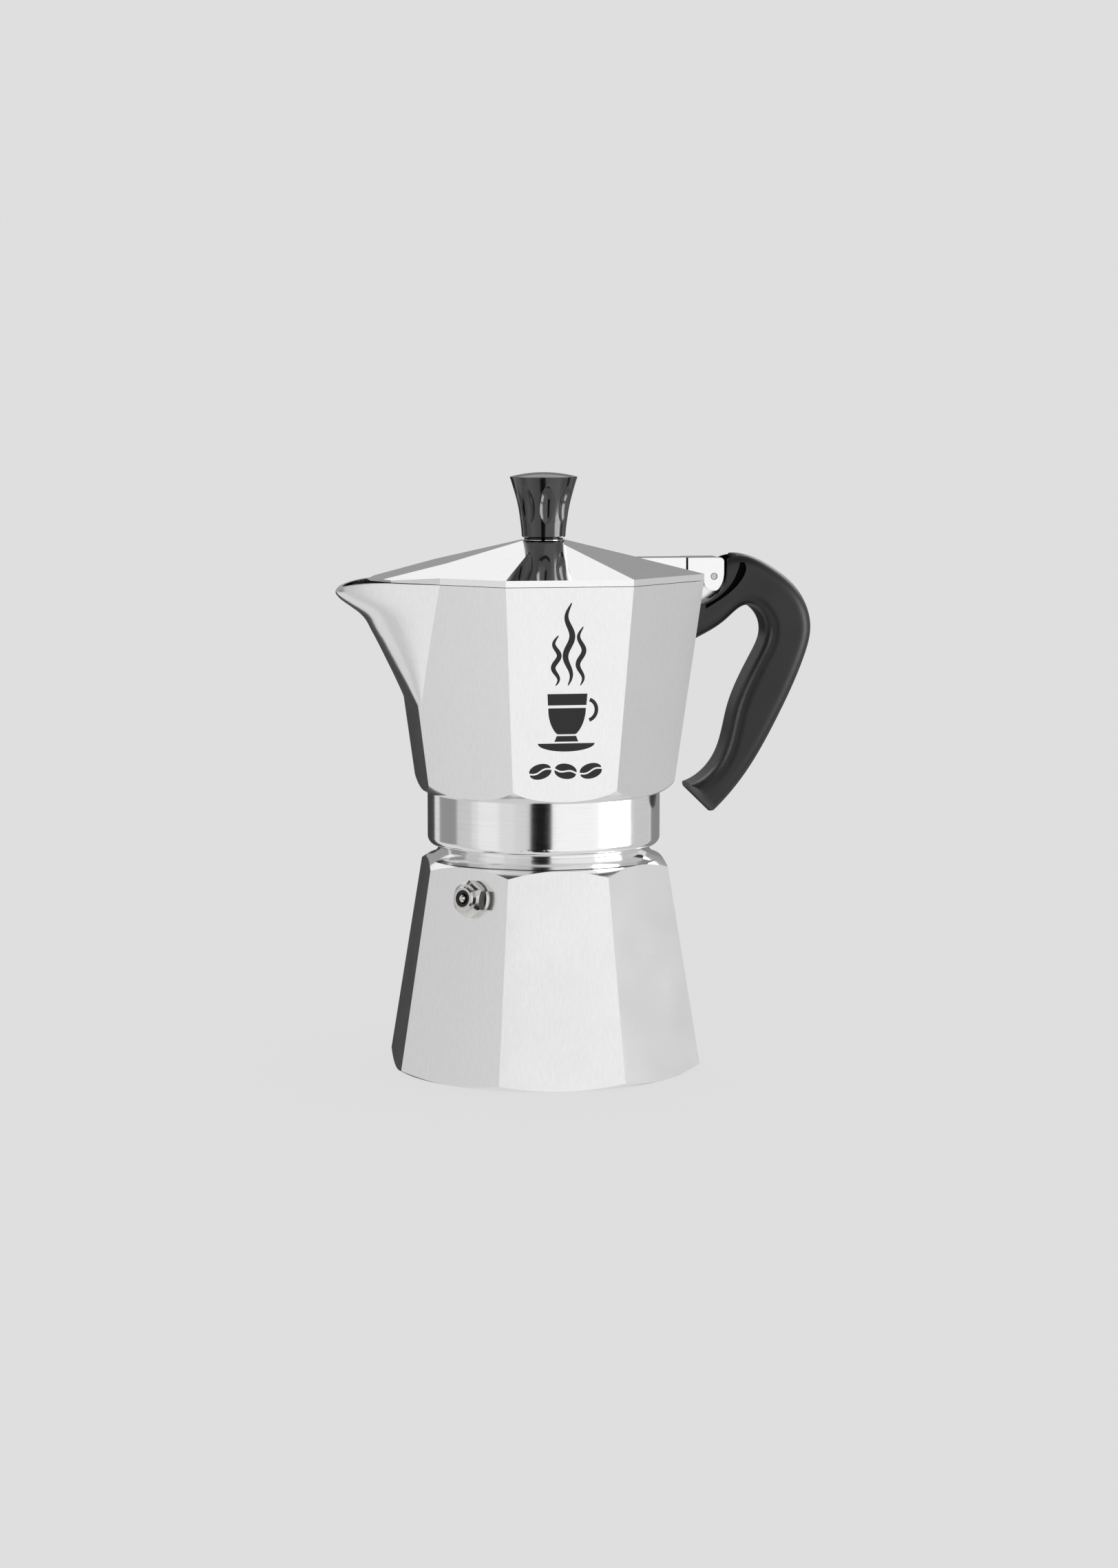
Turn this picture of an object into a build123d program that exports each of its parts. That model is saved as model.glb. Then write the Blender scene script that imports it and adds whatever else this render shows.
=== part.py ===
from build123d import *
import os
from math import atan, cos, degrees, pi, radians, sin

# An octagonal stovetop moka pot for six cups, in millimetres.
# The origin is the centre of the boiler's underside. +Z is up, the spout points along -X
# and the handle along +X.

os.makedirs("parts", exist_ok=True)

# ---- octagonal castings: the corner radius at height z is corner + slope * z ----
sides = 8
flat = cos(pi / sides)                 # facet mid radius over corner radius
boiler_corner, boiler_slope = 58.5, -0.1696
boiler_turn = -2.7                     # how far round the boiler's facets stop from the collector's
collector_corner, collector_slope = 33.0, 0.1439
wall = 2.4

# ---- heights ----
foot_height = 2.3
boiler_top = 79.7                      # ledge at the foot of the neck
neck_top = 91.5                        # rim that the funnel hangs on
ring_bottom, ring_top = 80.4, 99.4
seat_height = 96.0                     # face inside the ring, above the filter plate
collector_floor = 101.6
rim_height = 175.56
lid_bottom = rim_height + 0.2
lid_edge = 178.0                       # top of the lid's upright edge
lid_top = 189.5

# ---- neck, ring and thread ----
neck_bore = 31.6
collar_radius = 36.9
thread_root, thread_crest = 35.2, 36.5
thread_pitch = 3.0
thread_start, thread_height = 82.2, 7.0
thread_gap = 0.25
ring_radius = 41.8
mouth_radius, mouth_height = 37.3, 1.9
groove_radius = 36.4                   # room for the gasket
sheet = 0.8                            # thickness of the pressed sheet pieces

# ---- column ----
column_top = 152.0
column_foot, column_tip, column_bore = 8.6, 6.4, 4.0

# ---- hinge and lid ----
pin_x, pin_z, pin_radius = 60.8, 176.2, 1.2
pin_gap = 0.06
ear_outer, ear_inner = 7.0, 4.5
lobe_radius, lobe_drop = 3.65, 1.5
block_front, block_top = 51.3, 182.9
rib_half = 5.2
lid_wall = 2.0
roof_corner, boss_corner = 58.3, 8.3
roof_slope = (lid_top - lid_edge) / ((roof_corner - boss_corner) * flat)
knob_bottom, knob_edge, knob_top = 190.4, 211.9, 213.5
knob_foot, knob_rim = 7.8, 12.1
flutes, flute_half, flute_bulge = 8, 10.0, 4.1

# ---- handle ----
handle_half = 10.0
slot_half = ear_outer + 0.4
slot_radius = 8.2
tongue_half = 4.2
tongue_bottom, tongue_back = 161.5, 62.5
screw_x = 57.0


def boiler_radius(z):
    return boiler_corner + boiler_slope * z


def collector_radius(z):
    return collector_corner + collector_slope * z


def polar(radius, angle, z):
    return Vector(radius * cos(radians(angle)), radius * sin(radians(angle)), z)


def thread_form(turn, height, inner, outer, inner_half, outer_half):
    """Helical ridge of trapezoid section, which starts at the angle turn.

    inner_half and outer_half are half its width at the inner and outer radius.
    """
    start = thread_start + thread_pitch * turn / 360
    with BuildPart() as ridge:
        with BuildLine() as path:
            Helix(thread_pitch, height, thread_root, center=(0, 0, start))
        section = Plane(origin=path.line @ 0, x_dir=(1, 0, 0), z_dir=path.line % 0)
        with BuildSketch(section):
            with BuildLine():
                Polyline(
                    (inner - thread_root, -inner_half),
                    (outer - thread_root, -outer_half),
                    (outer - thread_root, outer_half),
                    (inner - thread_root, inner_half),
                    close=True,
                )
            make_face()
        sweep(path=path.line, is_frenet=True)
    return Rot(0, 0, turn) * ridge.part


# ================= boiler =================

boiler_taper = degrees(atan(-boiler_slope * flat))
boiler_facet = 225 + boiler_turn
valve_height, valve_aside = 65.2, 3.3
facet_side = polar(1, boiler_facet + 90, 0)
facet_out = polar(cos(radians(boiler_taper)), boiler_facet, sin(radians(boiler_taper)))
facet_mid = polar(boiler_radius(valve_height) * flat, boiler_facet, valve_height)
valve_plane = Plane(origin=facet_mid + facet_side * valve_aside, x_dir=facet_side, z_dir=facet_out)
valve_shank = 4.0

with BuildPart() as boiler:
    # octagonal body, turned at the foot and the shoulder
    with BuildSketch():
        RegularPolygon(boiler_corner, sides, rotation=boiler_turn + 180 / sides)
    extrude(amount=boiler_top, taper=boiler_taper)
    with BuildSketch(Plane.XZ):
        with BuildLine():
            Polyline((37.6, boiler_top), (0, boiler_top), (0, 0), (54.0, 0), (58.1, foot_height))
            Polyline((58.1, foot_height), (62.0, 4.5), (62.0, 63.2), (42.3, 75.7))
            ThreePointArc((42.3, 75.7), (39.1, 77.3), (37.6, boiler_top))
        make_face()
    revolve(axis=Axis.Z, mode=Mode.INTERSECT)
    # neck, with a plain collar below its thread
    with BuildSketch(Plane.XZ):
        with BuildLine():
            Polyline(
                (0, boiler_top - 4),
                (collar_radius, boiler_top - 4),
                (collar_radius, ring_bottom + 1.3),
                (thread_root, ring_bottom + 2.2),
                (thread_root, neck_top - 0.6),
                (thread_root - 0.6, neck_top),
                (0, neck_top),
                close=True,
            )
        make_face()
    revolve(axis=Axis.Z)
    add(thread_form(0, thread_height, thread_root - 0.3, thread_crest, 1.12, 0.45))
    # water space, round inside and open through the neck
    with BuildSketch(Plane.XZ):
        with BuildLine():
            Polyline((neck_bore, neck_top + 1), (0, neck_top + 1), (0, 3.2), (46.5, 3.2))
            ThreePointArc((46.5, 3.2), (49.1, 4.4), (50.2, 7.0))
            Line((50.2, 7.0), (39.9, 71.5))
            ThreePointArc((39.9, 71.5), (38.2, 74.0), (35.2, 75.0))
            Polyline((35.2, 75.0), (neck_bore, 76.6), (neck_bore, neck_top + 1))
        make_face()
    revolve(axis=Axis.Z, mode=Mode.SUBTRACT)
    # tapped hole for the safety valve
    with BuildSketch(valve_plane.offset(2)):
        Circle(valve_shank)
    extrude(amount=-12, mode=Mode.SUBTRACT)
boiler.part.label = "boiler"
export_step(boiler.part, "parts/boiler.step")

# ================= safety valve =================
# Profiles are drawn with x along the valve's axis, outwards from the facet, and y as the radius.

valve_axis = Axis(valve_plane.origin, valve_plane.z_dir)
valve_section = Plane(
    origin=valve_plane.origin,
    x_dir=valve_plane.z_dir,
    z_dir=valve_plane.z_dir.cross(facet_side),
)
valve_hex = 11.4
washer_front = 0.9
hex_front = washer_front + 4.2
nose_front = hex_front + 1.4
valve_back, valve_seat = -9.0, -7.6
chamber, port = 3.0, 1.4
plunger_head, plunger_stem = 2.93, 1.3
plunger_tip = nose_front + 0.8
head_front = valve_seat + 1.4
retainer_back, retainer_front = nose_front - 1.5, nose_front - 0.3

with BuildPart() as valve_washer:
    with BuildSketch(valve_section):
        with BuildLine():
            Polyline((0.02, 4.1), (washer_front, 4.1), (washer_front, 6.3), (0.02, 6.7), close=True)
        make_face()
    revolve(axis=valve_axis)
valve_washer.part.label = "safety_valve_washer"
export_step(valve_washer.part, "parts/safety_valve_washer.step")

with BuildPart() as valve_body:
    with BuildSketch(valve_plane.offset(washer_front)):
        RegularPolygon(valve_hex / 2, 6, major_radius=False, rotation=30)
    extrude(amount=hex_front - washer_front)
    # turned chamfer over the hexagon's front corners
    with BuildSketch(valve_section):
        with BuildLine():
            Polyline(
                (washer_front, 0),
                (washer_front, 9),
                (hex_front - 1.7, 6.75),
                (hex_front, 5.0),
                (hex_front, 0),
                close=True,
            )
        make_face()
    revolve(axis=valve_axis, mode=Mode.INTERSECT)
    # nose and shank
    with BuildSketch(valve_section):
        with BuildLine():
            Polyline(
                (valve_back, 0),
                (valve_back, valve_shank - 0.5),
                (valve_back + 0.5, valve_shank - 0.02),
                (washer_front, valve_shank - 0.02),
                (hex_front - 0.1, 4.3),
                (nose_front - 0.5, 4.3),
                (nose_front, 3.8),
                (nose_front, 0),
                close=True,
            )
        make_face()
    revolve(axis=valve_axis)
    # steam port, conical seat and spring chamber
    with BuildSketch(valve_section):
        with BuildLine():
            Polyline(
                (valve_back - 1, 0),
                (valve_back - 1, port),
                (valve_seat, port),
                (valve_seat, chamber),
                (nose_front + 1, chamber),
                (nose_front + 1, 0),
                close=True,
            )
        make_face()
    revolve(axis=valve_axis, mode=Mode.SUBTRACT)
valve_body.part.label = "safety_valve_body"
export_step(valve_body.part, "parts/safety_valve_body.step")

with BuildPart() as valve_plunger:
    with BuildSketch(valve_section):
        with BuildLine():
            Polyline(
                (valve_seat + 0.03, 0),
                (valve_seat + 0.03, plunger_head),
                (head_front, plunger_head),
                (head_front, plunger_stem),
                (plunger_tip - 0.5, plunger_stem),
                (plunger_tip, plunger_stem - 0.5),
                (plunger_tip, 0),
                close=True,
            )
        make_face()
    revolve(axis=valve_axis)
valve_plunger.part.label = "safety_valve_plunger"
export_step(valve_plunger.part, "parts/safety_valve_plunger.step")

spring_wire, spring_radius = 0.28, 2.1
spring_start = head_front + spring_wire + 0.05
spring_length = retainer_back - spring_wire - 0.05 - spring_start
spring_turns = 6

with BuildPart() as valve_spring:
    with BuildLine() as coil:
        Helix(
            spring_length / spring_turns,
            spring_length,
            spring_radius,
            center=valve_plane.origin + valve_plane.z_dir * spring_start,
            direction=valve_plane.z_dir,
        )
    with BuildSketch(Plane(origin=coil.line @ 0, z_dir=coil.line % 0)):
        Circle(spring_wire)
    sweep(path=coil.line, is_frenet=True)
valve_spring.part.label = "safety_valve_spring"
export_step(valve_spring.part, "parts/safety_valve_spring.step")

with BuildPart() as valve_retainer:
    with BuildSketch(valve_section):
        with BuildLine():
            Polyline(
                (retainer_back, plunger_stem + 0.07),
                (retainer_back, chamber - 0.01),
                (retainer_front, chamber - 0.01),
                (retainer_front, plunger_stem + 0.7),
                (retainer_back + 0.6, plunger_stem + 0.07),
                close=True,
            )
        make_face()
    revolve(axis=valve_axis)
valve_retainer.part.label = "safety_valve_retainer"
export_step(valve_retainer.part, "parts/safety_valve_retainer.step")

# ================= funnel =================

basket_radius = 31.0
flange_radius = 35.0
disc_height = 65.8                     # ledge that the perforated disc lies on
ledge_radius = 27.0
cone_bottom = 57.0
stem_top, stem_tip, stem_bottom = 6.4, 5.3, 7.5

with BuildPart() as funnel:
    with BuildSketch(Plane.XZ):
        with BuildLine():
            Polyline(
                (basket_radius, neck_top + 0.05),
                (basket_radius, disc_height - sheet),
                (ledge_radius + 0.3, disc_height - sheet),
                (stem_top, cone_bottom),
                (stem_tip, stem_bottom),
                (stem_tip - sheet, stem_bottom),
                (stem_top - sheet, cone_bottom + 0.4),
                (ledge_radius, disc_height),
                (basket_radius - sheet, disc_height),
                (basket_radius - sheet, neck_top + sheet),
                (flange_radius, neck_top + sheet),
                (flange_radius, neck_top + 0.05),
                close=True,
            )
        make_face()
    revolve(axis=Axis.Z)
funnel.part.label = "funnel"
export_step(funnel.part, "parts/funnel.step")

# both discs are pierced by rings of holes, six more in each ring than in the last
disc_hole, disc_pitch, disc_rings = 0.75, 4.3, 6
plate_hole, plate_pitch, plate_rings = 0.6, 3.7, 7

with BuildPart() as funnel_disc:
    with BuildSketch(Plane.XY.offset(disc_height + 0.02)):
        Circle(basket_radius - sheet - 0.1)
        Circle(disc_hole, mode=Mode.SUBTRACT)
        for ring in range(1, disc_rings + 1):
            with PolarLocations(ring * disc_pitch, 6 * ring):
                Circle(disc_hole, mode=Mode.SUBTRACT)
    extrude(amount=sheet)
funnel_disc.part.label = "funnel_filter_disc"
export_step(funnel_disc.part, "parts/funnel_filter_disc.step")

# ================= gasket and filter plate =================

gasket_outer, gasket_inner = 36.0, 29.0
gasket_bottom = neck_top + sheet + 0.05
plate_bottom = seat_height - 0.08 - 0.6
plate_radius = 33.2

with BuildPart() as gasket:
    with BuildSketch(Plane.XZ):
        with Locations(((gasket_outer + gasket_inner) / 2, (gasket_bottom + plate_bottom - 0.02) / 2)):
            RectangleRounded(gasket_outer - gasket_inner, plate_bottom - 0.02 - gasket_bottom, 0.4)
    revolve(axis=Axis.Z)
gasket.part.label = "gasket"
export_step(gasket.part, "parts/gasket.step")

with BuildPart() as filter_plate:
    # pressed plate: a flat rim and a raised, pierced middle
    with BuildSketch(Plane.XZ):
        with BuildLine():
            Polyline(
                (0, plate_bottom + 0.8),
                (27.9, plate_bottom + 0.8),
                (28.9, plate_bottom),
                (plate_radius, plate_bottom),
                (plate_radius, plate_bottom + 0.6),
                (29.2, plate_bottom + 0.6),
                (28.2, plate_bottom + 1.4),
                (0, plate_bottom + 1.4),
                close=True,
            )
        make_face()
    revolve(axis=Axis.Z)
    with BuildSketch(Plane.XY.offset(plate_bottom + 0.5)):
        Circle(plate_hole)
        for ring in range(1, plate_rings + 1):
            with PolarLocations(ring * plate_pitch, 6 * ring):
                Circle(plate_hole)
    extrude(amount=1.5, mode=Mode.SUBTRACT)
filter_plate.part.label = "filter_plate"
export_step(filter_plate.part, "parts/filter_plate.step")

# ================= collector =================

collector_taper = -degrees(atan(collector_slope * flat))
collector_base = ring_top - 1.0

# The spout is lofted through level sections, spaced evenly along its keel from just inside
# the front facet to above the rim.
keel_foot = (-47.13, 129.2)
keel_bend = (-61.9, 158.0)
with BuildLine(Plane.XZ) as keel:
    Line(keel_foot, keel_bend)
    Spline(
        keel_bend,
        (-66.3, 164.1),
        (-71.0, 167.5),
        (-74.2, 170.4),
        (-75.2, 178.0),
        tangents=((-0.515, 1), (0, 1)),
    )
throat_levels = 10
crease_start = 128.0                   # height where the throat's sides leave the facets' corners
crease_share = 0.37                    # how far they reach across the next facets at the rim
side_angle = 38.0                      # direction of the throat's sides from X, in plan


def throat_section(nose, inset):
    """Level section of the throat: two bowed sides from the keel to the neighbouring facets."""
    rise = (nose.Z - crease_start) / (rim_height - crease_start)
    corner = collector_radius(nose.Z) - inset / flat
    start = polar(corner, 180 - 180 / sides, 0)
    end = polar(corner, 180 - 540 / sides, 0)
    side = start + (end - start) * crease_share * rise
    run = polar(1, side_angle, 0)
    front = Vector(nose.X + inset * 1.12, 0, 0)
    # the side's tangent meets the nose's here
    knee = side - run * (max(0.0, side.X - front.X) / run.X)
    near_side = side + (knee - side) * (0.85 - 0.25 * rise)
    near_front = Vector(front.X, knee.Y * (0.85 + 0.12 * rise), 0)
    inside = side + run * 4
    back = Vector(-30, 12, 0)
    with BuildSketch(Plane.XY.offset(nose.Z)) as section:
        with BuildLine():
            Bezier(front, near_front, near_side, side)
            Polyline(side, inside, back)
            mirror(about=Plane.XZ)
            Line(back, (back.X, -back.Y))
        make_face()
    return section.sketch


def throat_form(inset):
    with BuildPart() as form:
        loft([throat_section(keel.line @ (i / throat_levels), inset) for i in range(throat_levels + 1)])
    return form.part


with BuildPart() as collector_core:
    # the inside, as its casting core: octagonal with a rounded floor, and the spout's channel
    with BuildSketch(Plane.XY.offset(collector_floor)):
        RegularPolygon(collector_radius(collector_floor) - wall / flat, sides, rotation=180 / sides)
    extrude(amount=rim_height + 1 - collector_floor, taper=collector_taper)
    with BuildSketch(Plane.XZ):
        with BuildLine():
            Polyline((37.0, collector_floor), (0, collector_floor), (0, 180), (90, 180), (90, 118), (45.5, 108.5))
            ThreePointArc((45.5, 108.5), (42.6, 103.9), (37.0, collector_floor))
        make_face()
    revolve(axis=Axis.Z, mode=Mode.INTERSECT)
    add(throat_form(wall))

with BuildPart() as collector:
    with BuildSketch(Plane.XY.offset(collector_base)):
        RegularPolygon(collector_radius(collector_base), sides, rotation=180 / sides)
    extrude(amount=rim_height + 1 - collector_base, taper=collector_taper)
    add(throat_form(0))
    # turned underside and flat rim
    with BuildSketch(Plane.XZ):
        with BuildLine():
            Polyline((ring_radius, ring_top), (0, ring_top), (0, rim_height), (95, rim_height), (95, 115))
            Polyline((95, 115), (56, 112), (48.0, 104.1))
            ThreePointArc((48.0, 104.1), (45.3, 101.3), (ring_radius, ring_top))
        make_face()
    revolve(axis=Axis.Z, mode=Mode.INTERSECT)
    # lip of the spout: it dips towards its tip
    with BuildSketch(Plane.XZ):
        with BuildLine():
            Spline(
                (-56, rim_height + 0.02),
                (-66.0, 175.0),
                (-70.6, 174.1),
                (-73.4, 172.9),
                (-75.2, 170.9),
                (-77.0, 167.5),
                tangents=((-1, 0), (-0.4, -1)),
            )
            Polyline((-77.0, 167.5), (-78, 182), (-56, 182), (-56, rim_height + 0.02))
        make_face()
    extrude(amount=40, both=True, mode=Mode.SUBTRACT)
    # ring
    with BuildSketch(Plane.XZ):
        with BuildLine():
            Polyline((0, ring_top + 1.5), (0, ring_bottom), (ring_radius - 3.0, ring_bottom))
            RadiusArc((ring_radius - 3.0, ring_bottom), (ring_radius, ring_bottom + 3.0), -3.0)
            Polyline((ring_radius, ring_bottom + 3.0), (ring_radius, ring_top), (0, ring_top + 1.5))
        make_face()
    revolve(axis=Axis.Z)
    add(collector_core.part, mode=Mode.SUBTRACT)
    # column
    with BuildSketch(Plane.XZ):
        with BuildLine():
            Line((15.0, collector_floor - 1), (15.0, collector_floor))
            ThreePointArc((15.0, collector_floor), (10.6, collector_floor + 2.0), (column_foot, collector_floor + 7))
            Polyline(
                (column_foot, collector_floor + 7),
                (column_tip, column_top),
                (0, column_top),
                (0, collector_floor - 1),
                (15.0, collector_floor - 1),
            )
        make_face()
    revolve(axis=Axis.Z)
    # hinge lug with the tongue that the handle slides over
    with BuildSketch(Plane.XZ):
        with BuildLine():
            Polyline(
                (collector_radius(173.0) * flat - 1.2, 173.0),
                (pin_x - 3.2, 173.0),
                (pin_x - 3.2, pin_z),
            )
            ThreePointArc((pin_x - 3.2, pin_z), (pin_x, pin_z + 3.2), (pin_x + 3.2, pin_z))
            Polyline(
                (pin_x + 3.2, pin_z),
                (pin_x + 3.2, 171.0),
                (tongue_back, 169.5),
                (tongue_back, tongue_bottom),
                (collector_radius(tongue_bottom) * flat - 1.2, tongue_bottom),
                (collector_radius(173.0) * flat - 1.2, 173.0),
            )
        make_face()
    extrude(amount=tongue_half, both=True)
    # underside inside the ring: seat, recess over the filter plate, gasket groove, bore and mouth
    with BuildSketch(Plane.XZ):
        with BuildLine():
            Polyline(
                (0, ring_bottom - 1),
                (mouth_radius, ring_bottom - 1),
                (mouth_radius, ring_bottom + mouth_height),
                (thread_root + thread_gap, ring_bottom + mouth_height + 1.2),
                (thread_root + thread_gap, neck_top - 0.6),
                (groove_radius, neck_top + 0.2),
                (groove_radius, seat_height),
                (31.5, seat_height),
                (29.5, seat_height + 1.8),
                (0, seat_height + 1.8),
                close=True,
            )
        make_face()
    revolve(axis=Axis.Z, mode=Mode.SUBTRACT)
    add(
        thread_form(-240, thread_height + 3, thread_root - 0.5, thread_crest + thread_gap, 1.36, 0.6),
        mode=Mode.SUBTRACT,
    )
    # bore of the column, pin hole and tapped hole for the handle's screw
    with BuildSketch(Plane.XY.offset(seat_height)):
        Circle(column_bore)
    extrude(amount=column_top - seat_height + 1, mode=Mode.SUBTRACT)
    with BuildSketch(Plane.XZ):
        with Locations((pin_x, pin_z)):
            Circle(pin_radius)
    extrude(amount=20, both=True, mode=Mode.SUBTRACT)
    with BuildSketch(Plane.XY.offset(tongue_bottom - 1)):
        with Locations((screw_x, 0)):
            Circle(2.0)
    extrude(amount=8.5, mode=Mode.SUBTRACT)
collector.part.label = "collector"
export_step(collector.part, "parts/collector.step")

with BuildPart() as column_cap:
    # spigot in the column, domed hood above, two windows that the coffee leaves by
    with BuildSketch(Plane.XZ):
        with BuildLine():
            Polyline(
                (3.0, column_top + 1.2),
                (3.0, column_top - 5),
                (column_bore - 0.02, column_top - 5),
                (column_bore - 0.02, column_top + 0.02),
                (column_tip, column_top + 0.02),
                (column_tip, column_top + 6.5),
            )
            TangentArc((0, column_top + 10.2), (column_tip, column_top + 6.5), tangent=(1, 0))
            Line((0, column_top + 10.2), (0, column_top + 9.0))
            TangentArc((0, column_top + 9.0), (5.2, column_top + 6.2), tangent=(1, 0))
            Polyline((5.2, column_top + 6.2), (5.2, column_top + 1.2), (3.0, column_top + 1.2))
        make_face()
    revolve(axis=Axis.Z)
    with BuildSketch(Plane.XZ):
        with Locations((0, column_top + 3.75)):
            RectangleRounded(6.0, 4.5, 1.0)
    extrude(amount=10, both=True, mode=Mode.SUBTRACT)
column_cap.part.label = "column_cap"
export_step(column_cap.part, "parts/column_cap.step")

# ================= lid =================

beak_root = polar(roof_corner, 180 - 180 / sides, 0)
beak_next = polar(roof_corner, 180 - 540 / sides, 0)
beak_start = beak_root + (beak_next - beak_root) * crease_share
beak_side = Vector(-57.2, 17.6, 0)
beak_tip = Vector(-64.2, 3.0, 0)
beak_side_top = 176.5
ridge_point = polar(40.0, 180 - 180 / sides, lid_edge + (roof_corner - 40.0) * roof_slope * flat)


def roof_plane(angle, drop):
    """Plane of one roof facet, moved down by drop along its normal."""
    normal = Vector(roof_slope * cos(radians(angle)), roof_slope * sin(radians(angle)), 1).normalized()
    return Plane(origin=polar(roof_corner * flat, angle, lid_edge) - normal * drop, z_dir=normal)


def beak_plane(way, drop):
    """Plane of one side of the beak; way is 1 for the side towards +Y and -1 for the other."""
    first = Vector(beak_start.X, beak_start.Y * way, lid_edge)
    second = Vector(beak_side.X, beak_side.Y * way, beak_side_top)
    third = Vector(ridge_point.X, ridge_point.Y * way, ridge_point.Z)
    normal = (second - first).cross(third - first).normalized() * way
    return Plane(origin=first - normal * drop, z_dir=normal)


def lid_form(inset, bottom, top):
    """Solid under the lid's roof, inset all round by the wall's thickness."""
    with BuildPart() as form:
        with BuildSketch(Plane.XY.offset(bottom)):
            with BuildLine():
                Polyline(
                    beak_tip,
                    beak_side,
                    beak_start,
                    *[polar(roof_corner, angle, 0) for angle in (112.5, 67.5, 22.5)],
                    (roof_corner * flat, 0),
                )
                mirror(about=Plane.XZ)
                Line(beak_tip, (beak_tip.X, -beak_tip.Y))
            make_face()
            if inset:
                offset(amount=-inset, kind=Kind.INTERSECTION)
        extrude(amount=top - bottom)
        for angle in range(0, 360, 45):
            split(bisect_by=roof_plane(angle, inset), keep=Keep.BOTTOM)
        for way in (1, -1):
            split(bisect_by=beak_plane(way, inset), keep=Keep.BOTTOM)
    return form.part


with BuildPart() as lid:
    add(lid_form(0, lid_bottom, lid_top))
    # round boss under the knob
    with BuildSketch(Plane.XY.offset(lid_top - 1)):
        Circle(6.9)
    extrude(amount=knob_bottom - lid_top + 1)
    # rib and hinge block
    with BuildSketch(Plane.XZ):
        with BuildLine():
            Polyline((30, 180), (34.5, block_top), (block_front, block_top), (block_front, 177), (30, 177), close=True)
        make_face()
    extrude(amount=rib_half, both=True)
    with BuildSketch(Plane.XZ):
        with BuildLine():
            Polyline(
                (block_front, 177.0),
                (block_front, block_top),
                (pin_x + lobe_radius - 1.5, block_top),
            )
            RadiusArc(
                (pin_x + lobe_radius - 1.5, block_top),
                (pin_x + lobe_radius, block_top - 1.5),
                1.5,
            )
            Line((pin_x + lobe_radius, block_top - 1.5), (pin_x + lobe_radius, pin_z - lobe_drop))
            ThreePointArc(
                (pin_x + lobe_radius, pin_z - lobe_drop),
                (pin_x, pin_z - lobe_drop - lobe_radius),
                (pin_x - lobe_radius, pin_z - lobe_drop),
            )
            Polyline(
                (pin_x - lobe_radius, pin_z - lobe_drop),
                (pin_x - lobe_radius, lid_bottom),
                (53.0, lid_bottom),
                (block_front, 177.0),
            )
        make_face()
    extrude(amount=ear_outer, both=True)
    # gap between the ears, round the collector's lug
    with BuildSketch(Plane.XZ):
        with Locations((pin_x, pin_z)):
            Circle(3.6)
        with Locations((pin_x, pin_z - 5)):
            Rectangle(9.0, 10.0)
        with Locations((pin_x + 2.5, pin_z - 1)):
            Rectangle(5.0, 9.8)
    extrude(amount=ear_inner, both=True, mode=Mode.SUBTRACT)
    add(lid_form(lid_wall, lid_bottom - 1, lid_top - 2.2), mode=Mode.SUBTRACT)
    # holes for the pin and the knob's screw
    with BuildSketch(Plane.XZ):
        with Locations((pin_x, pin_z)):
            Circle(pin_radius + pin_gap)
    extrude(amount=20, both=True, mode=Mode.SUBTRACT)
    with BuildSketch(Plane.XY.offset(lid_bottom)):
        Circle(2.2)
    extrude(amount=20, mode=Mode.SUBTRACT)
lid.part.label = "lid"
export_step(lid.part, "parts/lid.step")

with BuildPart() as hinge_pin:
    with BuildSketch(Plane.XZ):
        with Locations((pin_x, pin_z)):
            Circle(pin_radius)
    extrude(amount=ear_outer - 0.1, both=True)
    chamfer(hinge_pin.edges(), 0.25)
hinge_pin.part.label = "hinge_pin"
export_step(hinge_pin.part, "parts/hinge_pin.step")

# ================= knob =================

insert_radius, insert_top = 4.0, 202.0
screw_radius = 1.98
knob_washer_top = lid_top - 2.2
knob_washer_bottom = knob_washer_top - 0.8

with BuildPart() as flute:
    # lens-shaped cutter, standing on its axis and then laid against the knob's flare
    with BuildSketch(Plane.XZ):
        with BuildLine():
            ThreePointArc((0, -flute_half), (flute_bulge, 0), (0, flute_half))
            Line((0, flute_half), (0, -flute_half))
        make_face()
    revolve(axis=Axis.Z)

with BuildPart() as knob:
    # drawn in a plane between two flutes
    with BuildSketch(Plane.XZ.rotated((0, 0, 20))):
        with BuildLine():
            Line((0, knob_bottom), (knob_foot - 0.4, knob_bottom))
            Line((knob_foot - 0.4, knob_bottom), (knob_foot, knob_bottom + 0.4))
            Spline(
                (knob_foot, knob_bottom + 0.4),
                (9.1, 200.5),
                (knob_rim, knob_edge),
                tangents=((0.05, 1), (0.35, 1)),
            )
            TangentArc((0, knob_top), (knob_rim, knob_edge), tangent=(1, 0))
            Line((0, knob_top), (0, knob_bottom))
        make_face()
    revolve(axis=Axis.Z)
    flare = degrees(atan((knob_rim - knob_foot) / (knob_edge - knob_bottom)))
    with PolarLocations(11.9, flutes, start_angle=-1.7):
        with Locations(Location((0, 0, 201.4), (0, flare, 0))):
            add(flute.part, mode=Mode.SUBTRACT)
    with BuildSketch(Plane.XY.offset(knob_bottom)):
        Circle(insert_radius)
    extrude(amount=insert_top - knob_bottom, mode=Mode.SUBTRACT)
knob.part.label = "knob"
export_step(knob.part, "parts/knob.step")

with BuildPart() as knob_insert:
    with BuildSketch(Plane.XY.offset(knob_bottom + 0.02)):
        Circle(insert_radius - 0.01)
        Circle(screw_radius + 0.02, mode=Mode.SUBTRACT)
    extrude(amount=insert_top - knob_bottom - 0.04)
knob_insert.part.label = "knob_insert"
export_step(knob_insert.part, "parts/knob_insert.step")

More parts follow.
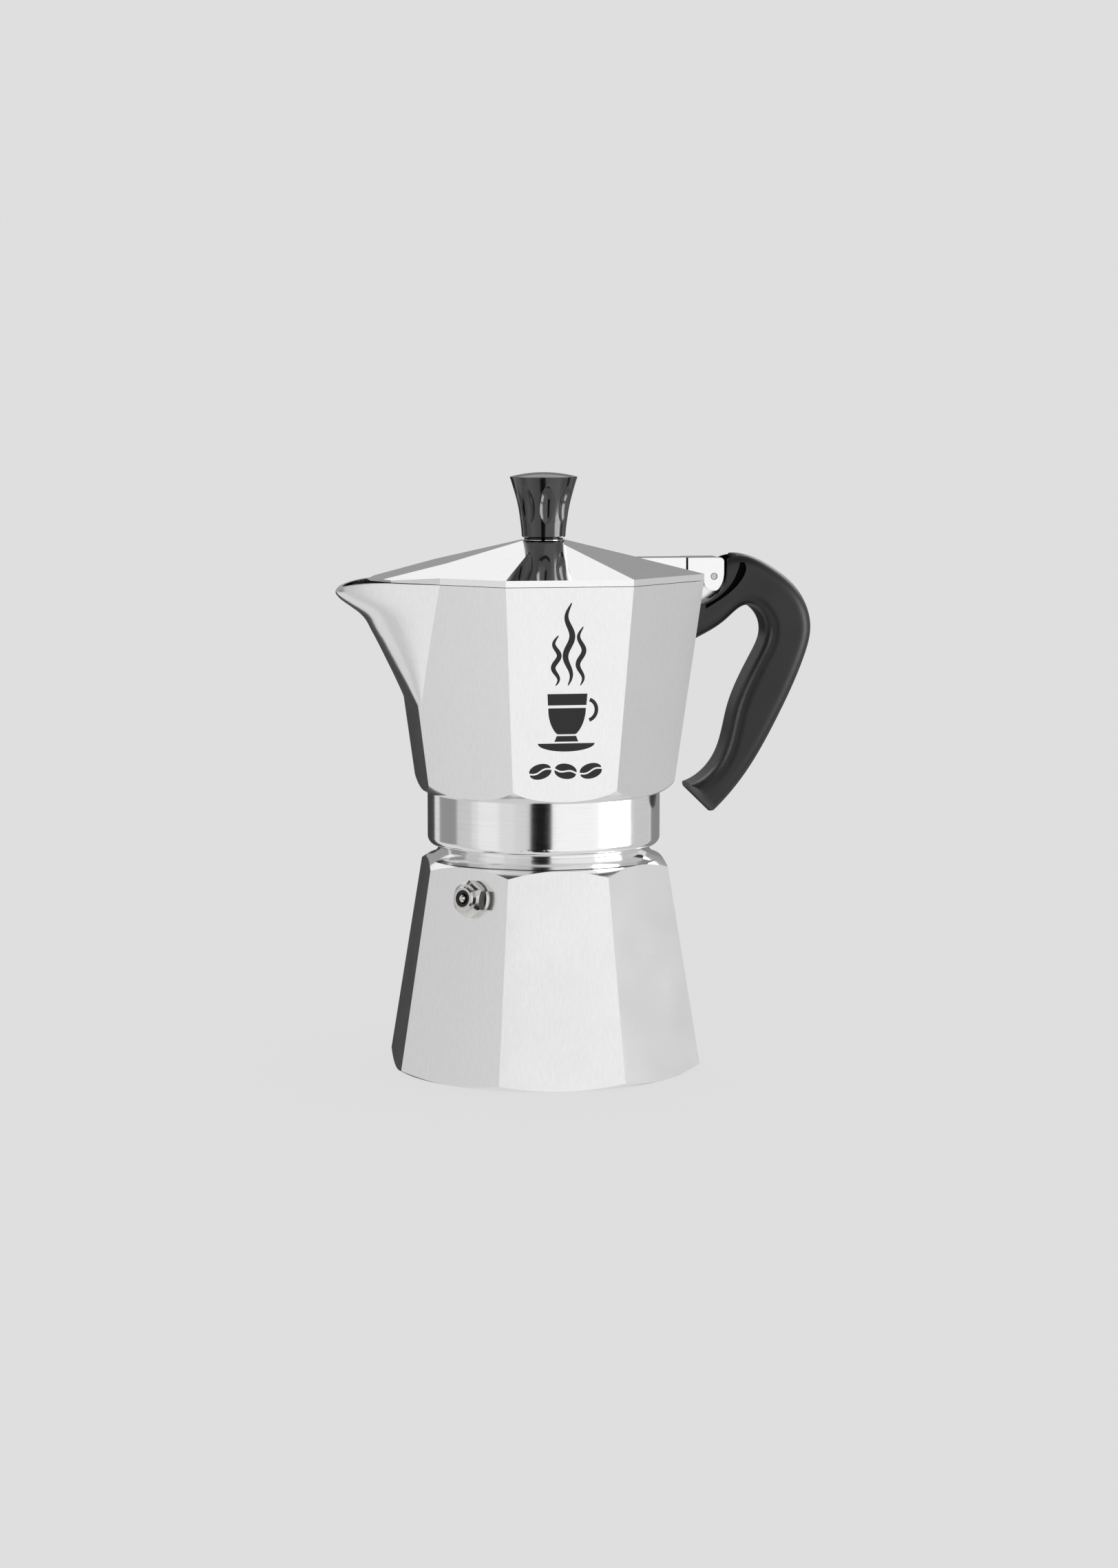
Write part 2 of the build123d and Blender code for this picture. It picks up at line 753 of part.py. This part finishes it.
with BuildPart() as knob_washer:
    with BuildSketch(Plane.XY.offset(knob_washer_bottom)):
        Circle(5.4)
        Circle(2.2, mode=Mode.SUBTRACT)
    extrude(amount=knob_washer_top - knob_washer_bottom - 0.02)
knob_washer.part.label = "knob_washer"
export_step(knob_washer.part, "parts/knob_washer.step")

with BuildPart() as knob_screw:
    with BuildSketch(Plane.XY.offset(knob_washer_bottom - 0.02)):
        Circle(3.9)
    extrude(amount=-2.4)
    fillet(knob_screw.edges().group_by(Axis.Z)[0], 1.2)
    with BuildSketch(Plane.XY.offset(knob_washer_bottom - 0.1)):
        Circle(screw_radius)
    extrude(amount=12.5)
    # slot for a screwdriver
    with BuildSketch(Plane.XY.offset(knob_washer_bottom - 2.5)):
        Rectangle(9, 1.0)
    extrude(amount=1.1, mode=Mode.SUBTRACT)
knob_screw.part.label = "knob_screw"
export_step(knob_screw.part, "parts/knob_screw.step")

# ================= handle =================

contact_low, contact_high = 152.3, 165.8
handle_gap = 0.05
groove_depth = 1.6
head_room = 159.6                      # top of the screw's counterbore
washer_low = head_room - 0.65
head_low = washer_low - 2.1


def facet_x(z):
    """x of the rear facet's outside, with a hair of room for the handle."""
    return collector_radius(z) * flat + handle_gap


with BuildPart() as handle:
    with BuildSketch(Plane.XZ):
        with BuildLine():
            Spline(
                (65.6, 183.2),
                (70.6, 184.1),
                (81.8, 179.8),
                (92.6, 170.2),
                (96.8, 157.6),
                (94.5, 146.9),
                (84.3, 124.1),
                (73.4, 105.4),
                (60.6, 90.8),
            )
            Polyline((60.6, 90.8), (51.6, 99.7), (52.6, 101.2))
            Spline(
                (52.6, 101.2),
                (59.4, 105.4),
                (63.4, 110.6),
                (68.5, 128.1),
                (77.3, 147.8),
                (80.2, 155.5),
                (78.3, 162.4),
                (73.7, 165.7),
                (65.6, 160.7),
                (56.2, 154.8),
                (facet_x(contact_low), contact_low),
            )
            Line((facet_x(contact_low), contact_low), (facet_x(contact_high), contact_high))
            Spline(
                (facet_x(contact_high), contact_high),
                (56.4, 166.9),
                (61.3, 169.8),
                (64.3, 173.4),
                (65.2, 178.0),
                (65.6, 183.2),
            )
        make_face()
    extrude(amount=handle_half, both=True)
    rims = handle.edges().filter_by(lambda edge: abs(edge.center().Y) > handle_half - 0.1)
    fillet(rims.filter_by(lambda edge: edge.length > 60), 5)
    # foot rounded across its width
    with BuildSketch(Plane(origin=(56.1, 0, 95.25), x_dir=(0, 1, 0), z_dir=(-0.716, 0, 0.70))):
        with BuildLine():
            ThreePointArc((-10.5, -3.6), (0, 0), (10.5, -3.6))
            Polyline((10.5, -3.6), (12.0, -3.6), (12.0, 8.0), (-12.0, 8.0), (-12.0, -3.6), (-10.5, -3.6))
        make_face()
    extrude(amount=15, both=True, mode=Mode.SUBTRACT)
    # slot for the lid's hinge block, open to the front and above
    with BuildSketch(Plane.XZ):
        with Locations((pin_x, pin_z)):
            Circle(slot_radius)
        with Locations((pin_x + slot_radius - 15, pin_z + 10)):
            Rectangle(30, 20)
    extrude(amount=slot_half, both=True, mode=Mode.SUBTRACT)
    # pocket over the collector's tongue
    with BuildSketch(Plane.XZ):
        with Locations(((tongue_back + handle_gap + 45) / 2, tongue_bottom - handle_gap + 7)):
            Rectangle(tongue_back + handle_gap - 45, 14)
    extrude(amount=tongue_half + handle_gap, both=True, mode=Mode.SUBTRACT)
    # crescent grooves in both cheeks
    for way in (1, -1):
        with BuildSketch(Plane.XZ.offset(way * (handle_half - groove_depth))):
            with BuildLine():
                Spline(
                    (57.0, 166.4),
                    (61.8, 169.0),
                    (65.2, 172.1),
                    (67.2, 174.8),
                    (68.8, 178.3),
                    (69.8, 181.4),
                )
                Line((69.8, 181.4), (71.4, 181.2))
                Spline(
                    (71.4, 181.2),
                    (71.9, 178.8),
                    (70.0, 174.6),
                    (66.6, 171.0),
                    (61.9, 167.6),
                    (57.2, 164.8),
                )
                Line((57.2, 164.8), (57.0, 166.4))
            make_face()
        extrude(amount=way * 3, mode=Mode.SUBTRACT)
    # counterbore and hole of the screw
    with BuildSketch(Plane.XY.offset(head_room)):
        with Locations((screw_x, 0)):
            Circle(4.2)
    extrude(amount=-12, mode=Mode.SUBTRACT)
    with BuildSketch(Plane.XY.offset(head_room - 1)):
        with Locations((screw_x, 0)):
            Circle(2.2)
    extrude(amount=5, mode=Mode.SUBTRACT)
handle.part.label = "handle"
export_step(handle.part, "parts/handle.step")

with BuildPart() as handle_washer:
    with BuildSketch(Plane.XY.offset(washer_low)):
        with Locations((screw_x, 0)):
            Circle(4.0)
            Circle(2.2, mode=Mode.SUBTRACT)
    extrude(amount=0.6)
handle_washer.part.label = "handle_washer"
export_step(handle_washer.part, "parts/handle_washer.step")

with BuildPart() as handle_screw:
    with BuildSketch(Plane.XY.offset(washer_low - 0.02)):
        with Locations((screw_x, 0)):
            Circle(3.6)
    extrude(amount=-2.1)
    fillet(handle_screw.edges().group_by(Axis.Z)[0], 1.0)
    with BuildSketch(Plane.XY.offset(washer_low - 0.1)):
        with Locations((screw_x, 0)):
            Circle(screw_radius)
    extrude(amount=9.0)
    with BuildSketch(Plane.XY.offset(head_low - 0.2)):
        with Locations((screw_x, 0)):
            Rectangle(9, 1.0)
    extrude(amount=1.2, mode=Mode.SUBTRACT)
handle_screw.part.label = "handle_screw"
export_step(handle_screw.part, "parts/handle_screw.step")
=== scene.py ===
from math import cos, pi, radians, sin, tan

import bmesh
import bpy
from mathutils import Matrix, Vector


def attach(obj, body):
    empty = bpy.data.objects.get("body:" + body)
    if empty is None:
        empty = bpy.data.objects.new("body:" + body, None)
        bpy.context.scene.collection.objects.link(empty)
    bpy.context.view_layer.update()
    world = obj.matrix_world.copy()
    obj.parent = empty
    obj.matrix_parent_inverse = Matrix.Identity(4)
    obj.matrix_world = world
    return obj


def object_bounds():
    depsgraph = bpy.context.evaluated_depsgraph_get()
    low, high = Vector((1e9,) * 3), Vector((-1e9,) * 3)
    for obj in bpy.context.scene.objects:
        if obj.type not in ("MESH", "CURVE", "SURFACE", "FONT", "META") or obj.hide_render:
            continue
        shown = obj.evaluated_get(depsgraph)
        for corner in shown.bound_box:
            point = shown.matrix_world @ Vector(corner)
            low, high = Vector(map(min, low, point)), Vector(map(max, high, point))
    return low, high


# A studio picture of the moka pot. Metres, +Z up, spout along -X, handle along +X.

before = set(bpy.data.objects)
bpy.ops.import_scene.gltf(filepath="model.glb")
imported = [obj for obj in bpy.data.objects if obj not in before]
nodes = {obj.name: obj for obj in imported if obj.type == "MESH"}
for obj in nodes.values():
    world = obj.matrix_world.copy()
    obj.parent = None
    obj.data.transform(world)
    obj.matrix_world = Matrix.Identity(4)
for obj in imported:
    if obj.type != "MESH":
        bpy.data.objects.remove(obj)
cad_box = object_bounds()
scene = bpy.context.scene

base_height = cad_box[0][2]
MM = 0.001

# ---- camera: the photograph's side of the pot ----
CAMERA_AZIMUTH = radians(-9.675)
CAMERA_DISTANCE = 1.2246
CAMERA_HEIGHT = 0.2464
CAMERA_PITCH = 0.1177
CAMERA_LENS = 78.6
CAMERA_SENSOR = 36
CAMERA_SHIFT_X = 0.0098


def make_camera():
    data = bpy.data.cameras.new("camera")
    data.lens = CAMERA_LENS
    data.sensor_fit = "VERTICAL"
    data.sensor_height = CAMERA_SENSOR
    data.shift_x = CAMERA_SHIFT_X
    camera = bpy.data.objects.new("camera", data)
    scene.collection.objects.link(camera)
    camera.location = (
        sin(CAMERA_AZIMUTH) * CAMERA_DISTANCE,
        -cos(CAMERA_AZIMUTH) * CAMERA_DISTANCE,
        CAMERA_HEIGHT,
    )
    camera.rotation_euler = (pi / 2 - CAMERA_PITCH, 0, CAMERA_AZIMUTH)
    scene.camera = camera


make_camera()
scene.view_settings.view_transform = "Standard"


# ---- materials ----
class Shade:
    """A node material that is built up from its principled shader."""

    def __init__(self, name, color, metallic=0.0, roughness=0.4):
        self.material = bpy.data.materials.new(name)
        self.material.use_nodes = True
        self.tree = self.material.node_tree
        self.shader = self.tree.nodes["Principled BSDF"]
        self.set("Base Color", (*color, 1))
        self.set("Metallic", metallic)
        self.set("Roughness", roughness)
        coordinates = self.tree.nodes.new("ShaderNodeTexCoord")
        self.place = coordinates.outputs["Object"]
        self.facing = coordinates.outputs["Normal"]

    def set(self, name, value):
        self.shader.inputs[name].default_value = value

    def link(self, a, b):
        self.tree.links.new(a, b)

    def stretched(self, scale):
        """Object coordinates, scaled along each axis."""
        mapping = self.tree.nodes.new("ShaderNodeMapping")
        mapping.inputs["Scale"].default_value = scale
        self.link(self.place, mapping.inputs["Vector"])
        return mapping.outputs["Vector"]

    def noise(self, scale=(1, 1, 1), size=100.0, detail=3.0, rough=0.5):
        node = self.tree.nodes.new("ShaderNodeTexNoise")
        node.inputs["Scale"].default_value = size
        node.inputs["Detail"].default_value = detail
        node.inputs["Roughness"].default_value = rough
        self.link(self.stretched(scale), node.inputs["Vector"])
        return node.outputs["Fac"]

    def spread(self, value, low_value, high_value, start=0.3, end=0.7):
        """A value from low_value to high_value, as the input goes from start to end."""
        node = self.tree.nodes.new("ShaderNodeMapRange")
        node.inputs["From Min"].default_value = start
        node.inputs["From Max"].default_value = end
        node.inputs["To Min"].default_value = low_value
        node.inputs["To Max"].default_value = high_value
        self.link(value, node.inputs["Value"])
        return node.outputs["Result"]

    def mixed(self, value, first, second):
        """A colour between first and second, which are colours or sockets."""
        node = self.tree.nodes.new("ShaderNodeMix")
        node.data_type = "RGBA"
        for place, tone in ((6, first), (7, second)):
            if isinstance(tone, tuple):
                node.inputs[place].default_value = (*tone, 1)
            else:
                self.link(tone, node.inputs[place])
        self.link(value, node.inputs[0])
        return node.outputs[2]

    def along(self, vector, axis):
        """One part of a vector socket."""
        node = self.tree.nodes.new("ShaderNodeSeparateXYZ")
        self.link(vector, node.inputs["Vector"])
        return node.outputs[axis]

    def worked_out(self, operation, *values):
        node = self.tree.nodes.new("ShaderNodeMath")
        node.operation = operation
        for value, socket in zip(values, node.inputs):
            self.link(value, socket)
        return node.outputs["Value"]

    def either(self, first, second):
        """The larger of two values."""
        return self.worked_out("MAXIMUM", first, second)

    def both(self, first, second):
        """The smaller of two values."""
        return self.worked_out("MINIMUM", first, second)

    def size(self, value):
        return self.worked_out("ABSOLUTE", value)

    def chosen(self, mask, first, second):
        """The first value where the mask is 0, and the second where it is 1."""
        node = self.tree.nodes.new("ShaderNodeMix")
        self.link(mask, node.inputs["Factor"])
        self.link(first, node.inputs["A"])
        self.link(second, node.inputs["B"])
        return node.outputs["Result"]

    def color(self, value):
        self.link(value, self.shader.inputs["Base Color"])

    def roughness(self, value):
        self.link(value, self.shader.inputs["Roughness"])

    def bump(self, value, distance, strength=1.0, under=None):
        node = self.tree.nodes.new("ShaderNodeBump")
        node.inputs["Distance"].default_value = distance
        node.inputs["Strength"].default_value = strength
        self.link(value, node.inputs["Height"])
        if under is not None:
            self.link(under, node.inputs["Normal"])
        self.link(node.outputs["Normal"], self.shader.inputs["Normal"])
        return node.outputs["Normal"]


# heights where a turned surface, or the lid boss's painted shade, begins and ends
RING_FADE = (0.1002, 0.1006)
NECK_FADE = (0.0756, 0.0758)
BOSS_FADE = (0.18955, 0.1896)
# upward part of a normal where the shoulder begins, and is all turned
SHOULDER_FADE = (0.45, 0.55)
# sideways part of a normal on the handle's cheeks, and how far out their grooves reach
CHEEK_FADE = (0.93, 0.97)
GROOVE_FADE = (0.0087, 0.009)
# painted shade: near-black colours for the lid's boss under the knob and the handle's cheek
# grooves, with less specular in the grooves
BOSS_SHADE = (0.02, 0.02, 0.02)
GROOVE_SHADE = (0.001, 0.001, 0.001)
SATIN_SPECULAR, GROOVE_SHADE_SPECULAR = 0.4, 0.03


def casting(name, bright, roughness, turned_roughness, turned_zone):
    """Belt-polished facets with fine upright scratches, and lathe rings where it was turned."""
    shade = Shade(name, bright, metallic=1.0, roughness=roughness)
    turned = turned_zone(shade)
    scratches = shade.noise(scale=(1, 1, 0.03), size=2600, detail=2)
    rings = shade.noise(scale=(0.015, 0.015, 1), size=3300, detail=2)
    clouds = shade.noise(size=45, detail=2)
    grain = shade.chosen(turned, scratches, rings)
    dull = tuple(channel * 0.955 for channel in bright)
    shade.color(shade.mixed(shade.spread(grain, 0, 1), bright, dull))
    facet_rough = shade.spread(clouds, roughness * 0.93, roughness * 1.1)
    ring_rough = shade.spread(rings, turned_roughness * 0.85, turned_roughness * 1.2)
    shade.roughness(shade.chosen(turned, facet_rough, ring_rough))
    under = shade.bump(grain, 0.00001, 0.4)
    shade.bump(clouds, 0.00018, 0.25, under)
    return shade.material


def ring_zone(shade):
    """The collector's ring and the underside that was turned with it."""
    return shade.spread(shade.along(shade.place, "Z"), 1, 0, *RING_FADE)


def shoulder_zone(shade):
    """The boiler's neck, and its shoulder, which faces up."""
    neck = shade.spread(shade.along(shade.place, "Z"), 0, 1, *NECK_FADE)
    shoulder = shade.spread(shade.along(shade.facing, "Z"), 0, 1, *SHOULDER_FADE)
    return shade.either(neck, shoulder)


def polished_lid(name, bright, roughness):
    """Buffed casting with a faint swirl in its shine."""
    shade = Shade(name, bright, metallic=1.0, roughness=roughness)
    swirls = shade.noise(scale=(1, 0.2, 1), size=900, detail=3)
    clouds = shade.noise(size=60, detail=2)
    dull = tuple(channel * 0.97 for channel in bright)
    buffed = shade.mixed(shade.spread(swirls, 0, 1), bright, dull)
    # the boss under the knob is coloured near black: painted shade where the knob sits on the lid
    boss = shade.spread(shade.along(shade.place, "Z"), 0, 1, *BOSS_FADE)
    shade.color(shade.mixed(boss, buffed, BOSS_SHADE))
    shade.roughness(shade.spread(clouds, roughness * 0.8, roughness * 1.3))
    under = shade.bump(swirls, 0.000004, 0.3)
    shade.bump(clouds, 0.0001, 0.15, under)
    return shade.material


def plain_metal(name, bright, roughness, grain=900):
    shade = Shade(name, bright, metallic=1.0, roughness=roughness)
    speckle = shade.noise(size=grain, detail=4)
    dull = tuple(channel * 0.9 for channel in bright)
    shade.color(shade.mixed(shade.spread(speckle, 0, 1), bright, dull))
    shade.roughness(shade.spread(speckle, roughness * 0.85, roughness * 1.2))
    shade.bump(speckle, 0.00002, 0.4)
    return shade.material


def moulded(name, tone, roughness, sheen=0.5):
    """Black phenolic plastic, with the faint unevenness of a moulding."""
    shade = Shade(name, tone, roughness=roughness)
    grain = shade.noise(size=1500, detail=3)
    waves = shade.noise(size=60, detail=2)
    light = tuple(channel * 1.35 + 0.002 for channel in tone)
    shade.color(shade.mixed(shade.spread(waves, 0, 1), tone, light))
    shade.roughness(shade.spread(grain, roughness * 0.88, roughness * 1.12))
    under = shade.bump(grain, 0.00001, 0.4)
    shade.bump(waves, 0.0003, 0.15, under)
    shade.set("Specular IOR Level", sheen)
    return shade.material


def handle_plastic(name, tone, roughness):
    """Satin phenolic plastic, with painted shade in its cheek grooves: they are coloured black
    and reflect less.
    """
    shade = Shade(name, tone, roughness=roughness)
    grain = shade.noise(size=1400, detail=3)
    waves = shade.noise(size=60, detail=2)
    light = tuple(channel * 1.4 + 0.002 for channel in tone)
    moulding = shade.mixed(shade.spread(waves, 0, 1), tone, light)
    sideways = shade.spread(shade.size(shade.along(shade.facing, "Y")), 0, 1, *CHEEK_FADE)
    sunk = shade.spread(shade.size(shade.along(shade.place, "Y")), 1, 0, *GROOVE_FADE)
    groove = shade.both(sideways, sunk)
    # painted shade: the cheek grooves are coloured black and given less specular
    shade.color(shade.mixed(groove, moulding, GROOVE_SHADE))
    specular = shade.spread(groove, SATIN_SPECULAR, GROOVE_SHADE_SPECULAR, 0, 1)
    shade.link(specular, shade.shader.inputs["Specular IOR Level"])
    shade.roughness(shade.spread(grain, roughness * 0.88, roughness * 1.12))
    under = shade.bump(grain, 0.000012, 0.4)
    shade.bump(waves, 0.0003, 0.15, under)
    return shade.material


def silicone(name):
    shade = Shade(name, (0.78, 0.77, 0.73), roughness=0.55)
    grain = shade.noise(size=700, detail=3)
    light, dark = (0.80, 0.79, 0.75), (0.72, 0.71, 0.67)
    shade.color(shade.mixed(shade.spread(grain, 0, 1), light, dark))
    shade.bump(grain, 0.00003, 0.4)
    shade.set("Subsurface Weight", 0.15)
    shade.set("Subsurface Radius", (0.002, 0.0015, 0.001))
    return shade.material


ALUMINIUM = (0.91, 0.91, 0.91)
STEEL = (0.62, 0.62, 0.62)
BRASS = (0.74, 0.73, 0.71)

boiler_metal = casting("boiler_aluminium", ALUMINIUM, 0.2, 0.1, shoulder_zone)
collector_metal = casting("collector_aluminium", ALUMINIUM, 0.2, 0.13, ring_zone)
polished = polished_lid("polished_aluminium", (0.93, 0.93, 0.93), 0.05)
pressed = plain_metal("pressed_aluminium", (0.86, 0.86, 0.86), 0.32)
steel = plain_metal("plated_steel", STEEL, 0.25)
brass = plain_metal("nickelled_brass", BRASS, 0.14)
# painted shade: the valve retainer is coloured near black to stand for the shade inside the
# valve's bore
dark_brass = plain_metal("painted_shade_brass", (0.05, 0.048, 0.045), 0.4)
knob_black = moulded("glossy_black", (0.004, 0.004, 0.004), 0.13, sheen=1.0)
handle_black = handle_plastic("satin_black", (0.014, 0.014, 0.014), 0.36)
ink = moulded("ink", (0.006, 0.006, 0.006), 0.42)
seal_white = silicone("silicone")

FINISHES = {
    "boiler": boiler_metal,
    "collector": collector_metal,
    "lid": polished,
    "funnel": pressed,
    "funnel_filter_disc": pressed,
    "filter_plate": pressed,
    "column_cap": pressed,
    "gasket": seal_white,
    "safety_valve_body": brass,
    "safety_valve_washer": brass,
    "safety_valve_retainer": dark_brass,
    "safety_valve_plunger": brass,
    "safety_valve_spring": steel,
    "hinge_pin": steel,
    "knob": knob_black,
    "knob_insert": brass,
    "knob_screw": steel,
    "knob_washer": steel,
    "handle": handle_black,
    "handle_screw": steel,
    "handle_washer": steel,
}

for name, material in FINISHES.items():
    slots = nodes[name].data.materials
    slots.clear()
    slots.append(material)

# ---- printed mark on the collector's front facet: a steaming cup above three coffee beans ----
# Outlines are in millimetres: across the facet, and up from the pot's base.
# The facet's corners are FACET_CORNER from the axis at the base, and lean out by FACET_SLOPE.
FACET_CORNER, FACET_SLOPE = 33.0, 0.1439
INK_LIFT = 0.03
BEAN_HALF_LENGTH, BEAN_HALF_WIDTH = 3.9, 2.35
SEAM_HALF_LENGTH, SEAM_SWAY = 3.7, 0.45


class Print:
    """Flat inked shapes that lie on the front facet."""

    def __init__(self):
        self.shape = bmesh.new()

    def corner(self, across, up):
        depth = (FACET_CORNER + FACET_SLOPE * up) * cos(pi / 8) + INK_LIFT
        return self.shape.verts.new(Vector((across, -depth, up)) * MM)

    def fill(self, outline):
        self.shape.faces.new([self.corner(*point) for point in outline])

    def stroke(self, path, widths):
        """A band along a path of points, as wide as its widths say."""
        last = len(path) - 1
        sides = []
        for i, (x, y) in enumerate(path):
            before, after = path[max(i - 1, 0)], path[min(i + 1, last)]
            run = Vector((after[0] - before[0], after[1] - before[1])).normalized()
            half = widths[i] / 2
            left = self.corner(x - run.y * half, y + run.x * half)
            right = self.corner(x + run.y * half, y - run.x * half)
            sides.append((left, right))
        for (a, b), (c, d) in zip(sides, sides[1:]):
            self.shape.faces.new((a, b, d, c))

    def finish(self, name, body, material):
        bmesh.ops.triangulate(self.shape, faces=self.shape.faces)
        bmesh.ops.recalc_face_normals(self.shape, faces=self.shape.faces)
        mesh = bpy.data.meshes.new(name)
        self.shape.to_mesh(mesh)
        self.shape.free()
        mesh.materials.append(material)
        piece = bpy.data.objects.new(name, mesh)
        scene.collection.objects.link(piece)
        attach(piece, body)


def ellipse(x, y, half_width, half_height, start=0, end=360, steps=48):
    turns = [radians(start + (end - start) * i / steps) for i in range(steps + 1)]
    return [(x + half_width * cos(turn), y + half_height * sin(turn)) for turn in turns]


def steam(mark, x, low_end, high_end, sway, width):
    """A wavy wisp that thins out at both ends."""
    steps = 60
    path = []
    widths = []
    for i in range(steps + 1):
        share = i / steps
        height = low_end + (high_end - low_end) * share
        path.append((x + sway * sin(share * 4.2 * pi), height))
        widths.append(0.25 + width * sin(pi * share) ** 0.7)
    mark.stroke(path, widths)


def bean(mark, x, y, tilt):
    """Two halves of a coffee bean, with its curved seam between them."""
    steps = 28
    for way in (1, -1):
        outline = []
        for i in range(steps + 1):
            turn = pi * i / steps
            half_width = 0.35 + BEAN_HALF_WIDTH * sin(turn)
            outline.append((BEAN_HALF_LENGTH * cos(turn), way * half_width))
        seam = []
        for i in range(steps, -1, -1):
            along = SEAM_HALF_LENGTH - 2 * SEAM_HALF_LENGTH * i / steps
            seam.append((along, SEAM_SWAY * sin(2 * pi * i / steps) + way * 0.3))
        corners = outline + seam[1:-1]
        turned = [
            (x + a * cos(tilt) - b * sin(tilt), y + a * sin(tilt) + b * cos(tilt))
            for a, b in corners
        ]
        mark.fill(turned)


def make_mark():
    mark = Print()
    # bowl of the cup, in two parts with a bare band between them
    mark.fill([(-7.0, 138.6), (-6.75, 134.6), (6.75, 134.6), (7.0, 138.6)])
    lower = ellipse(0, 133.6, 6.6, 10.6, 180, 360, 40)
    mark.fill([point if point[1] > 124.4 else (point[0], 124.4) for point in lower])
    # ear, foot and saucer
    mark.stroke(ellipse(7.0, 132.9, 3.3, 3.7, -75, 75, 24), [1.3] * 25)
    mark.fill([(-3.4, 123.8), (3.4, 123.8), (4.2, 121.8), (-4.2, 121.8)])
    mark.fill(ellipse(0, 121.2, 10.0, 2.9, 180, 360, 40))
    steam(mark, -4.2, 141.5, 159.0, 1.0, 1.5)
    steam(mark, 0.1, 141.5, 170.3, 1.1, 1.9)
    steam(mark, 4.4, 141.5, 162.0, 1.0, 1.5)
    for x, tilt in ((-8.9, 0.25), (0, -0.2), (8.9, 0.25)):
        bean(mark, x, 111.3, tilt)
    mark.finish("printed_mark", "collector", ink)


make_mark()

# ---- studio ----
BACKDROP = 0.737
FLOOR_RADIUS = 6.0
FLOOR_TONE = 0.12
FLOOR_GAP = 0.0002


def card(name, centre, toward, width, height, strength):
    """A plane that only reflections see: bright, or dark where its strength is near 0."""
    mesh = bpy.data.meshes.new(name)
    shape = bmesh.new()
    bmesh.ops.create_grid(shape, x_segments=1, y_segments=1, size=0.5)
    bmesh.ops.scale(shape, vec=(width, height, 1), verts=shape.verts)
    shape.to_mesh(mesh)
    shape.free()
    panel = bpy.data.objects.new(name, mesh)
    scene.collection.objects.link(panel)
    panel.location = centre
    panel.rotation_euler = (Vector(toward) - Vector(centre)).to_track_quat("Z", "Y").to_euler()
    material = bpy.data.materials.new(name)
    material.use_nodes = True
    tree = material.node_tree
    tree.nodes.clear()
    glow = tree.nodes.new("ShaderNodeEmission")
    glow.inputs["Color"].default_value = (1, 1, 1, 1)
    glow.inputs["Strength"].default_value = strength
    out = tree.nodes.new("ShaderNodeOutputMaterial")
    tree.links.new(glow.outputs["Emission"], out.inputs["Surface"])
    mesh.materials.append(material)
    panel.visible_camera = False
    panel.visible_diffuse = False
    panel.visible_shadow = False
    panel.visible_transmission = False


def upright(name, azimuth, spread_angle, distance, bottom, top, strength):
    """An upright card, spread_angle degrees wide as seen from the pot."""
    turn = radians(azimuth)
    centre = Vector((distance * cos(turn), distance * sin(turn), (bottom + top) / 2))
    width = 2 * distance * tan(radians(spread_angle / 2))
    card(name, centre, (0, 0, centre.z), width, top - bottom, strength)


def make_floor():
    mesh = bpy.data.meshes.new("floor")
    shape = bmesh.new()
    bmesh.ops.create_circle(shape, cap_ends=True, segments=96, radius=FLOOR_RADIUS)
    shape.to_mesh(mesh)
    shape.free()
    floor = bpy.data.objects.new("floor", mesh)
    scene.collection.objects.link(floor)
    floor.location.z = base_height - FLOOR_GAP
    material = bpy.data.materials.new("floor")
    material.use_nodes = True
    shader = material.node_tree.nodes["Principled BSDF"]
    shader.inputs["Base Color"].default_value = (FLOOR_TONE, FLOOR_TONE, FLOOR_TONE, 1)
    shader.inputs["Roughness"].default_value = 1.0
    shader.inputs["Specular IOR Level"].default_value = 0.0
    shader.inputs["Emission Color"].default_value = (1, 1, 1, 1)
    shader.inputs["Emission Strength"].default_value = BACKDROP - FLOOR_TONE * BACKDROP
    mesh.materials.append(material)
    floor.visible_glossy = False
    floor.visible_diffuse = False


def make_world():
    world = bpy.data.worlds.new("studio")
    scene.world = world
    world.use_nodes = True
    shade = world.node_tree.nodes["Background"]
    shade.inputs["Color"].default_value = (1, 1, 1, 1)
    shade.inputs["Strength"].default_value = BACKDROP


make_floor()
make_world()

# reflectors round the pot: the handle's side, the camera's with a dark gap, the spout's, the back
upright("right_card", 4, 50, 1.4, -0.9, 0.9, 0.60)
upright("front_card", 299, 62, 1.5, -0.9, 0.9, 1.0)
upright("camera_gap", 257.75, 20.5, 1.3, -1.1, 0.5, 0.004)
upright("left_front_card", 239.5, 15, 1.45, -0.9, 0.9, 0.70)
upright("left_near_card", 224, 16, 1.45, -0.9, 0.9, 0.76)
upright("left_middle_card", 204.75, 22.5, 1.45, -0.9, 0.9, 0.88)
upright("left_card", 176, 20, 1.4, -0.9, 0.9, 0.63)
upright("left_edge_card", 189.75, 7.5, 1.4, -0.9, 0.9, 0.76)
upright("left_back_card", 151, 30, 1.4, -0.25, 0.6, 0.3)
upright("left_back_low", 152.5, 29, 1.4, -0.9, -0.25, 0.75)
upright("right_back_card", 57, 50, 1.4, -0.9, 0.3, 0.25)
# behind: black low down, then grey, then a bright band that the lid shows
card("back_low", (0, 1.5, -0.4), (0, 0, -0.4), 2.0, 1.1, 0.05)
card("back_middle", (0, 1.5, 0.46), (0, 0, 0.46), 2.6, 0.62, 0.33)
card("back_high", (0, 1.5, 1.9), (0, 0, 1.9), 3.4, 2.26, 0.94)
# above: dark, which shows in the turned shoulder
card("ceiling", (0.1, -0.05, 1.4), (0.1, -0.05, 0), 2.2, 1.9, 0.05)
# a lamp at the front right, for the knob
upright("knob_light", 336, 32, 1.2, -0.25, 0.5, 5.0)
# high on the handle's side, for the handle's outer edge
upright("handle_light", 45, 40, 1.3, 0.6, 1.6, 4.0)
